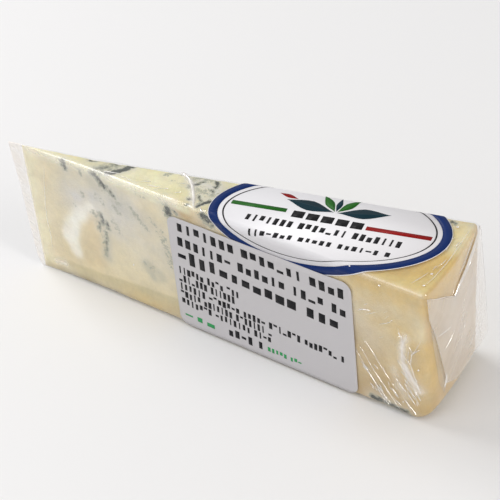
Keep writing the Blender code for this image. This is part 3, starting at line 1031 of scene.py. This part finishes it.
def span_end_corner(places):
    """Stands the film off the rind end where it only spans it."""
    radius = sizes().wheel_radius
    reach = np.maximum(np.hypot(places[:, 0], places[:, 1]), MM)
    at_end = smooth_step(radius - 8.0 * MM, radius - 1.0 * MM, reach)
    slack = end_slack(places[:, 1] / MM, places[:, 2] / MM) * at_end * MM
    places[:, :2] *= (1.0 + slack / reach)[:, None]


def shape_seam(places):
    """Draws the foot of the seam up and back, and lets the seam flutter."""
    fall = 1.0 - places[:, 2] / sizes().height
    outward = np.clip(-places[:, 0] / SEAM_REACH, 0.0, 1.0)
    places[:, 2] += SEAM_FOOT_RISE * outward**3 * fall
    kept = (1.0 - SEAM_FOOT_DRAWN * fall) * (1.0 - (1.0 - SEAM_FOOT_KEPT) * fall)
    places[:, 0] *= np.where(outward > 0, kept, 1.0)
    flutter = noise_field(places * (0.2, 1.0, 1.0), 70.0, 5) * SEAM_FLUTTER
    places[:, 1] += outward * flutter


def build_film():
    """The tight skin of film, with its pinched seam in front of the point and its creases raised."""
    bm = cut_box(FILM_CUTS)
    places = wedge_form(get_places(bm), -SEAM_REACH, 0.0, taut=True)
    span_end_corner(places)
    shape_seam(places)
    set_places(bm, places)
    bmesh.ops.recalc_face_normals(bm, faces=bm.faces)
    normals = get_normals(bm)
    raised = np.zeros(len(places))
    milk = smooth_step(1.6 * MM, -0.8 * MM, places[:, 0]) * 0.80
    for face, points, radius, up, white in film_creases():
        there = stroke(places, face, points, radius)
        raised = np.maximum(raised, there * up)
        milk = np.maximum(milk, there * white)
    for face, points, radius, white in milky_and_highlight_zones():
        milk = np.maximum(milk, stroke(places, face, points, radius) * white)
    places = places + normals * (raised * MM)[:, None]
    places[:, 2] = np.clip(places[:, 2], 0.0, sizes().height)
    set_places(bm, places)
    write_attribute(bm, "milk", milk)
    piece = finish_mesh("film", bm, [film_material("clear_film")])
    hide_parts("wrapped_wedge")


def ear_outlines():
    """The two ears folded across the rind end, as (outline across and up, milkiness, how far it stands off).

    Of the near ear, only what the far one leaves uncovered is made.
    """
    near = [
        (-16.4, 42.4),
        (-15.8, 36.6),
        (-12.8, 28.2),
        (-10.9, 20.8),
        (-9.3, 14.4),
        (-8.1, 9.0),
        (-9.6, 6.4),
        (-12.2, 12.0),
        (-14.4, 26.0),
    ]
    far = [
        (17.0, 44.4),
        (-2.2, 34.8),
        (-16.9, 44.0),
        (-16.2, 36.8),
        (-13.2, 28.2),
        (-11.3, 20.8),
        (-9.7, 14.4),
        (-8.5, 9.0),
        (-2.0, 5.6),
        (10.0, 5.2),
        (16.6, 8.6),
        (17.2, 26.0),
    ]
    return ((near, 0.08, 0.06), (far, 0.36, 0.16))


def edge_distance(point, outline):
    """Distance in mm from a point to an outline, all in the end's own two directions."""
    best = math.inf
    for start, end in zip(outline, outline[1:] + outline[:1]):
        start, end, place = Vector(start), Vector(end), Vector(point)
        axis = end - start
        along = max(0.0, min(1.0, (place - start).dot(axis) / axis.length_squared))
        best = min(best, (place - start - axis * along).length)
    return best


def ear_stand(across, up, outline, lift):
    """How far an ear stands off the rind end, in mm: it swells in the middle and waves inside its rim."""
    half = sizes().wheel_radius / MM * sizes().half_apex
    swell = EAR_SWELL / MM * 0.75 * (1.0 - min(1.0, abs(across) / half) ** 2)
    swell *= min(1.0, max(0.0, up - 5.0) / 9.0)
    wave = noise.noise(Vector((across * 0.12, up * 0.09, lift * 50.0))) * 0.22
    inside = min(1.0, edge_distance((across, up), outline) / 5.0)
    return lift + swell * (0.2 + 0.8 * inside) + wave * inside + float(end_slack(across, up))


def build_ears():
    """The film's folded ears: two thin sheets that lie on each other over the rind end."""
    bm = bmesh.new()
    layer = bm.verts.layers.float.new("milk")
    for outline, white, lift in ear_outlines():
        corners = [bm.verts.new((across, up, 0.0)) for across, up in outline]
        sheet = bm.faces.new(corners)
        geometry = cut_sheet(bm, [sheet, *sheet.edges, *sheet.verts], EAR_SPANS, EAR_CELL, 1.0)
        for vert in [part for part in geometry if isinstance(part, bmesh.types.BMVert)]:
            across, up = vert.co.x, vert.co.y
            place = on_end(across, up)
            place[0] += ear_stand(across, up, outline, lift)
            vert.co = Vector(place) * MM
            vert[layer] = white
    folded = film_material("folded_film", END_GRAIN, dulling=0.3, streaks=0.2, relief=0.06, fineness=130.0)
    piece = finish_mesh("film_ears", bm, [folded])
    thicken(piece, SHEET_THICKNESS, Vector((1, 0, 0)))
    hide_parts("wrapped_wedge")


# The labels


def side_outward(side):
    """The outward direction of a cut side, -1 for the near one and 1 for the far one."""
    turn = sizes().half_apex
    return Vector((-math.sin(turn), side * math.cos(turn), 0.0))


def fold_over_edge(point, side, lift):
    """Folds a point of a sheet that lies this far above the top down over one long edge."""
    outward = side_outward(side)
    edge = sizes().edge_radius
    past = point.dot(outward) + edge
    if past <= 0:
        return point
    radius = edge + lift
    turn = min(past / radius, math.pi / 2)
    foot = point - outward * past
    down = radius * (1 - math.cos(turn)) + past - radius * turn
    return foot + outward * radius * math.sin(turn) - Vector((0, 0, down))


def fold_oval(bm, lift):
    """Puts a flat sheet, drawn about the oval's centre, on the top and folds it down over both long edges."""
    label = label_sizes()
    centre = Vector(label.oval_centre) + Vector((0, 0, sizes().height + lift))
    turned = Matrix.Translation(centre) @ Matrix.Rotation(label.oval_turn, 4, "Z")
    bmesh.ops.transform(bm, matrix=turned, verts=bm.verts)
    bend = (sizes().edge_radius + lift) * math.pi / 2
    for side in (-1, 1):
        outward = side_outward(side)
        for step in range(FOLD_STEPS + 1):
            place = outward * (bend * step / FOLD_STEPS - sizes().edge_radius)
            bmesh.ops.bisect_plane(bm, geom=whole(bm), plane_co=place, plane_no=outward, dist=1e-7)
    for vert in bm.verts:
        for side in (-1, 1):
            vert.co = fold_over_edge(vert.co, side, lift)


def thicken(piece, thickness, outward):
    """Gives an open sheet its thickness on the side that faces outward."""
    mesh = piece.data
    if sum(polygon.normal.dot(outward) * polygon.area for polygon in mesh.polygons) < 0:
        mesh.flip_normals()
    solidify = piece.modifiers.new("thickness", "SOLIDIFY")
    solidify.thickness = thickness
    solidify.offset = 1.0
    solidify.use_even_offset = True


def ink_in(verts, slot):
    """Gives the faces of these points one of the inks."""
    for face in {f for v in verts for f in v.link_faces}:
        face.material_index = slot


def add_oval(bm, length, width, filled=True):
    """An oval about the middle, as a face or only as its rim, and returns its points."""
    made = bmesh.ops.create_circle(bm, cap_ends=filled, segments=OVAL_SEGMENTS, radius=0.5)["verts"]
    bmesh.ops.scale(bm, vec=(length, width, 1.0), verts=made)
    return made


def add_ring(bm, outer, inner, slot):
    """A flat ring between two ovals given by length and width."""
    edges = []
    for length, width in (outer, inner):
        rim = add_oval(bm, length, width, filled=False)
        edges += dict.fromkeys(e for v in rim for e in v.link_edges)
    for face in bmesh.ops.bridge_loops(bm, edges=edges)["faces"]:
        face.material_index = slot


def add_block(bm, x, y, length, width, slot, turn=0.0):
    """A flat rectangle about a point."""
    made = bmesh.ops.create_grid(bm, x_segments=1, y_segments=1, size=0.5)["verts"]
    place = Matrix.Translation((x, y, 0.0)) @ Matrix.Rotation(turn, 4, "Z")
    place @= Matrix.Diagonal((length, width, 1, 1))
    bmesh.ops.transform(bm, matrix=place, verts=made)
    ink_in(made, slot)


def add_leaf(bm, x, y, length, width, turn, slot):
    """A flat leaf: a circle drawn out to a point at both ends."""
    made = bmesh.ops.create_circle(bm, cap_ends=True, segments=28, radius=1.0)["verts"]
    for vert in made:
        vert.co.y *= 1.0 - abs(vert.co.x) ** 1.6
    place = Matrix.Translation((x, y, 0.0)) @ Matrix.Rotation(turn, 4, "Z")
    place @= Matrix.Translation((length / 2, 0, 0)) @ Matrix.Diagonal((length / 2, width / 2, 1, 1))
    bmesh.ops.transform(bm, matrix=place, verts=made)
    ink_in(made, slot)


def add_block_row(bm, draw, start, end, height, cell, slot):
    """A row of plain blocks, bars and dashes between two points, in groups, in place of a line of print."""
    start, end = Vector(start), Vector(end)
    axis = (end - start).normalized()
    rise = Vector((-axis.y, axis.x))
    turn = math.atan2(axis.y, axis.x)
    shapes = ((0.60, 1.0), (0.66, 0.72), (0.74, 0.30), (0.30, 1.0), (0.50, 0.86), (0.70, 0.92))
    along = 0.0
    group = draw.randint(4, 8)
    while along < (end - start).length - cell * 0.5:
        wide, tall = draw.choice(shapes)
        length = cell * wide * draw.uniform(0.9, 1.1)
        offset = height * draw.choice((-0.5, 0.0, 0.5)) * (1.0 - tall)
        middle = start + axis * (along + cell / 2) + rise * offset
        add_block(bm, middle.x, middle.y, length, height * tall, slot, turn)
        along += cell
        group -= 1
        if group == 0:
            along += cell * 0.6
            group = draw.randint(4, 8)


def draw_oval_print(bm, blue, black, green, red, teal):
    """The oval label's print, drawn flat about its centre: rims, bars, a motif of leaves, and plain rows."""
    label = label_sizes()
    full = (label.oval_length - 0.3 * MM, label.oval_width - 0.3 * MM)
    rim = 2 * 2.6 * MM
    add_ring(bm, full, (full[0] - rim, full[1] - rim), blue)
    line = (full[0] - 2 * 3.9 * MM, full[1] - 2 * 4.0 * MM)
    add_ring(bm, line, (line[0] - 0.9 * MM, line[1] - 0.36 * MM), black)
    add_block(bm, -20.8 * MM, 1.9 * MM, 16.2 * MM, 1.7 * MM, green)
    add_block(bm, 20.0 * MM, -0.2 * MM, 18.3 * MM, 1.7 * MM, red)
    for step in range(5):
        add_block(bm, (-9.0 + 4.3 * step) * MM, (1.0 - 0.2 * step) * MM, 3.4 * MM, 2.9 * MM, black)
    for turn, length, width, slot in (
        (10.0, 15.0, 4.4, teal),
        (170.0, 15.0, 4.4, teal),
        (53.0, 8.6, 2.6, green),
        (127.0, 8.6, 2.6, green),
        (90.0, 6.4, 1.7, teal),
    ):
        lean = math.radians(turn)
        x = (0.6 + 0.4 * math.cos(lean)) * MM
        y = (4.2 + 0.4 * math.sin(lean)) * MM
        add_leaf(bm, x, y, length * MM, width * MM, lean, slot)
    add_leaf(bm, -17.4 * MM, 9.2 * MM, 6.4 * MM, 1.5 * MM, math.radians(-14.0), red)
    draw = random.Random(PRINT_SEED)
    add_block_row(bm, draw, (-23.0 * MM, -3.4 * MM), (23.2 * MM, -4.8 * MM), 2.9 * MM, 2.05 * MM, black)
    add_block_row(bm, draw, (-20.7 * MM, -9.2 * MM), (20.6 * MM, -9.8 * MM), 2.0 * MM, 2.0 * MM, black)


def build_oval_label():
    """The oval paper, folded over both long edges, and its print of plain fields."""
    label = label_sizes()
    colour = colours()
    bm = bmesh.new()
    add_oval(bm, label.oval_length, label.oval_width)
    fold_oval(bm, label.lift)
    coated = paper_material("coated_paper", colour.oval_paper, 0.34, (0.93, 0.93, 0.95))
    paper = finish_mesh("oval_paper", bm, [coated])
    thicken(paper, label.thickness, Vector((0, 0, 1)))
    inks = [
        ink_material("print_blue", colour.ink_blue, 0.32),
        ink_material("print_black", colour.ink_black, 0.36),
        ink_material("print_green", colour.ink_green, 0.34),
        ink_material("print_red", colour.ink_red, 0.34),
        ink_material("print_teal", colour.ink_teal, 0.34),
    ]
    bm = bmesh.new()
    draw_oval_print(bm, *range(len(inks)))
    fold_oval(bm, label.lift + label.thickness + label.ink)
    ink = finish_mesh("oval_print", bm, inks)
    thicken(ink, label.ink, Vector((0, 0, 1)))
    for piece in (paper, ink):
        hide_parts("oval_label")


def bridge_lift(along, up):
    """How far the side label stands off the film where it lies over the oval's hanging edge, in metres."""
    climb = smooth_step(34.5, 37.4, up / MM)
    run = smooth_step(66.0, 74.0, along / MM) * (1.0 - smooth_step(106.0, 114.0, along / MM))
    label = label_sizes()
    return float(climb * run) * (label.thickness + label.ink + label.lift)


def lay_on_near_side(bm, lift):
    """Stands a flat sheet, drawn in distance along the side and height, against the near side."""
    turn = sizes().half_apex
    along_side = Vector((math.cos(turn), -math.sin(turn), 0.0))
    outward = side_outward(-1)
    for vert in bm.verts:
        along, up = vert.co.x, vert.co.y
        slack = noise.noise(Vector((along * 55.0, up * 40.0, 2.0))) * 0.05 * MM
        off = lift + bridge_lift(along, up) + slack + 0.05 * MM
        vert.co = along_side * along + outward * off + Vector((0.0, 0.0, up))


def draw_side_paper(bm):
    """The side label's rounded sheet, drawn in distance along the side and height."""
    label = label_sizes()
    bmesh.ops.create_grid(bm, x_segments=1, y_segments=1, size=0.5)
    bmesh.ops.scale(bm, vec=(label.side_length, label.side_height, 1.0), verts=bm.verts)
    middle = (label.side_start + label.side_length / 2, label.side_base + label.side_height / 2, 0.0)
    bmesh.ops.translate(bm, vec=middle, verts=bm.verts)
    bmesh.ops.bevel(
        bm,
        geom=bm.verts[:],
        offset=label.side_corner,
        offset_type="OFFSET",
        segments=8,
        profile=0.5,
        affect="VERTICES",
        material=-1,
    )


def draw_side_print(bm, dark, mint):
    """The side label's print: rows of plain blocks, as (start, end, height, cell, ink)."""
    draw = random.Random(PRINT_SEED)
    for start, end, tall, cell, slot in (
        ((57.4, 36.9), (114.4, 35.6), 3.3, 3.0, dark),
        ((57.0, 31.8), (114.2, 29.4), 3.1, 2.8, dark),
        ((56.6, 26.6), (69.4, 26.3), 4.6, 3.6, dark),
        ((71.2, 26.0), (110.8, 23.9), 3.3, 3.9, dark),
        ((56.2, 21.2), (77.5, 20.4), 2.6, 1.55, dark),
        ((56.0, 18.2), (76.0, 17.6), 2.6, 1.5, dark),
        ((55.9, 15.2), (113.4, 12.2), 2.5, 1.6, dark),
        ((55.9, 12.3), (88.0, 10.9), 2.5, 1.5, dark),
        ((55.9, 9.5), (88.1, 8.1), 2.4, 1.6, dark),
        ((56.0, 4.6), (69.8, 4.2), 2.0, 4.0, mint),
        ((72.2, 4.8), (85.0, 4.2), 3.0, 2.3, dark),
        ((86.2, 4.3), (98.4, 4.0), 1.7, 1.4, mint),
    ):
        ends = [tuple(c * MM for c in place) for place in (start, end)]
        add_block_row(bm, draw, *ends, tall * MM, cell * MM, slot)


def build_side_label():
    """The rounded paper on the near side, and its rows of plain blocks."""
    label = label_sizes()
    colour = colours()
    bm = bmesh.new()
    draw_side_paper(bm)
    cut_sheet(bm, whole(bm), LABEL_SPANS, LABEL_CELL)
    lay_on_near_side(bm, label.lift)
    # The thermal paper's grey is partly painted shade.
    thermal = paper_material("thermal_paper_painted_shade", colour.side_paper, 0.5, (0.62, 0.60, 0.63))
    paper = finish_mesh("side_paper", bm, [thermal])
    thicken(paper, label.thickness, side_outward(-1))
    inks = [
        ink_material("print_dark", colour.ink_black, 0.45),
        ink_material("print_mint", colour.ink_mint, 0.45),
    ]
    bm = bmesh.new()
    draw_side_print(bm, *range(len(inks)))
    cut_sheet(bm, whole(bm), LABEL_SPANS, LABEL_CELL)
    lay_on_near_side(bm, label.lift + label.thickness + label.ink)
    ink = finish_mesh("side_print", bm, inks)
    thicken(ink, label.ink, side_outward(-1))
    for piece in (paper, ink):
        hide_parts("side_label")


# The stage

# The camera stands where the photograph's did and looks the same way. Its place is from the cheese's point.
CAMERA_PLACE = Vector((0.2932, -0.3287, 0.3300))
CAMERA_AZIMUTH = math.radians(33.43)
CAMERA_ELEVATION = math.radians(37.39)
CAMERA_ROLL = math.radians(-6.44)
FOCAL_PIXELS = 1763.3
FRAME_PIXELS = 500
SENSOR_WIDTH = 36.0

# The soft lights, as (name, place, what it looks at, width, height, power, colour), in metres and watts.
LIGHTS = (
    ("key", (-0.82, 0.14, 0.76), (0.0, 0.0, 0.02), 0.60, 0.60, 5.8, (1.0, 0.995, 0.985)),
    ("front", (-0.45, -0.78, 0.72), (0.0, 0.0, 0.02), 0.70, 0.70, 2.1, (1.0, 1.0, 1.0)),
    ("right", (1.10, -0.25, 0.55), (0.05, 0.0, 0.02), 0.3, 0.5, 4.5, (1.0, 0.96, 0.91)),
)
FLOOR_SIZE = 3.0
SKY_COLOUR = (1.0, 0.995, 0.99, 1.0)
SKY_STRENGTH = 0.53


def build_camera():
    around, up_angle = CAMERA_AZIMUTH, CAMERA_ELEVATION
    back = Vector(
        (math.sin(around) * math.cos(up_angle), -math.cos(around) * math.cos(up_angle), math.sin(up_angle))
    )
    right = (-back).cross(Vector((0, 0, 1))).normalized()
    up = right.cross(-back)
    level = Matrix((right, up, back)).transposed()
    data = bpy.data.cameras.new("camera")
    data.sensor_width = SENSOR_WIDTH
    data.lens = SENSOR_WIDTH * FOCAL_PIXELS / FRAME_PIXELS
    data.clip_start = 0.01
    camera = bpy.data.objects.new("camera", data)
    roll = Matrix.Rotation(CAMERA_ROLL, 3, "Z")
    camera.matrix_world = Matrix.Translation(POINT + CAMERA_PLACE) @ (level @ roll).to_4x4()
    bpy.context.scene.collection.objects.link(camera)
    bpy.context.scene.camera = camera


def add_light(name, place, aim, width, height, power, colour):
    """A soft rectangular light that looks at a point."""
    data = bpy.data.lights.new(name, "AREA")
    data.shape = "RECTANGLE"
    data.size = width
    data.size_y = height
    data.energy = power
    data.color = colour
    light = bpy.data.objects.new(name, data)
    light.location = place
    light.rotation_euler = (Vector(aim) - Vector(place)).to_track_quat("-Z", "Y").to_euler()
    bpy.context.scene.collection.objects.link(light)


def floor_material():
    material, tree, output = new_material("studio_floor")
    cloud = noise_at(tree, object_place(tree), 3.0, 2.0)
    patch = maths(tree, "MULTIPLY", cloud, 0.3)
    tone = blend_colour(tree, patch, tuple(colours().floor), (0.84, 0.83, 0.83))
    finish_surface(tree, output, {"Base Color": tone, "Roughness": 0.55})
    return material


def build_stage():
    """A pale floor, plain soft light from the upper left, and the camera."""
    bm = bmesh.new()
    bmesh.ops.create_grid(bm, x_segments=1, y_segments=1, size=FLOOR_SIZE)
    mesh = bpy.data.meshes.new("floor")
    bm.to_mesh(mesh)
    bm.free()
    mesh.materials.append(floor_material())
    floor = bpy.data.objects.new("floor", mesh)
    bpy.context.scene.collection.objects.link(floor)
    for light in LIGHTS:
        add_light(*light)
    world = bpy.data.worlds.new("studio")
    world.use_nodes = True
    background = world.node_tree.nodes["Background"]
    background.inputs["Color"].default_value = SKY_COLOUR
    background.inputs["Strength"].default_value = SKY_STRENGTH
    bpy.context.scene.world = world
    bpy.context.scene.view_settings.view_transform = "Standard"
    build_camera()


# Operators, one for each piece or group of like pieces


class BuildCheese(bpy.types.Operator):
    """Build the marbled cheese"""

    bl_idname = "wedge.build_cheese"
    bl_label = "Cheese"

    def execute(self, context):
        build_cheese()
        return {"FINISHED"}


class BuildFilm(bpy.types.Operator):
    """Build the clear film, its seam and creases, and the ears folded over the rind end"""

    bl_idname = "wedge.build_film"
    bl_label = "Film"

    def execute(self, context):
        build_film()
        build_ears()
        build_ridges()
        return {"FINISHED"}


class BuildOvalLabel(bpy.types.Operator):
    """Build the oval label and its print"""

    bl_idname = "wedge.build_oval_label"
    bl_label = "Oval label"

    def execute(self, context):
        build_oval_label()
        return {"FINISHED"}


class BuildSideLabel(bpy.types.Operator):
    """Build the side label and its print"""

    bl_idname = "wedge.build_side_label"
    bl_label = "Side label"

    def execute(self, context):
        build_side_label()
        return {"FINISHED"}


class BuildStage(bpy.types.Operator):
    """Build the floor, the lights and the camera"""

    bl_idname = "wedge.build_stage"
    bl_label = "Stage"

    def execute(self, context):
        build_stage()
        return {"FINISHED"}


OPERATORS = (BuildStage, BuildCheese, BuildFilm, BuildOvalLabel, BuildSideLabel)


class WedgePanel(bpy.types.Panel):
    """Lists the pieces of the wrapped wedge"""

    bl_idname = "VIEW3D_PT_cheese_wedge"
    bl_label = "Cheese wedge"
    bl_space_type = "VIEW_3D"
    bl_region_type = "UI"
    bl_category = "Cheese wedge"

    def draw(self, context):
        for operator in OPERATORS:
            self.layout.operator(operator.bl_idname)
        for group in (sizes(), label_sizes(), colours()):
            box = self.layout.box()
            for name in group.__annotations__:
                box.prop(group, name)


CLASSES = (WedgeSizes, LabelSizes, WedgeColours, *OPERATORS, WedgePanel)


def register():
    for kind in CLASSES:
        bpy.utils.register_class(kind)
    bpy.types.Scene.wedge_sizes = PointerProperty(type=WedgeSizes)
    bpy.types.Scene.wedge_label_sizes = PointerProperty(type=LabelSizes)
    bpy.types.Scene.wedge_colours = PointerProperty(type=WedgeColours)


def unregister():
    del bpy.types.Scene.wedge_colours
    del bpy.types.Scene.wedge_label_sizes
    del bpy.types.Scene.wedge_sizes
    for kind in reversed(CLASSES):
        bpy.utils.unregister_class(kind)


def main():
    register()
    bpy.ops.wedge.build_stage()
    bpy.ops.wedge.build_cheese()
    bpy.ops.wedge.build_film()
    bpy.ops.wedge.build_oval_label()
    bpy.ops.wedge.build_side_label()


if __name__ == "__main__":
    main()
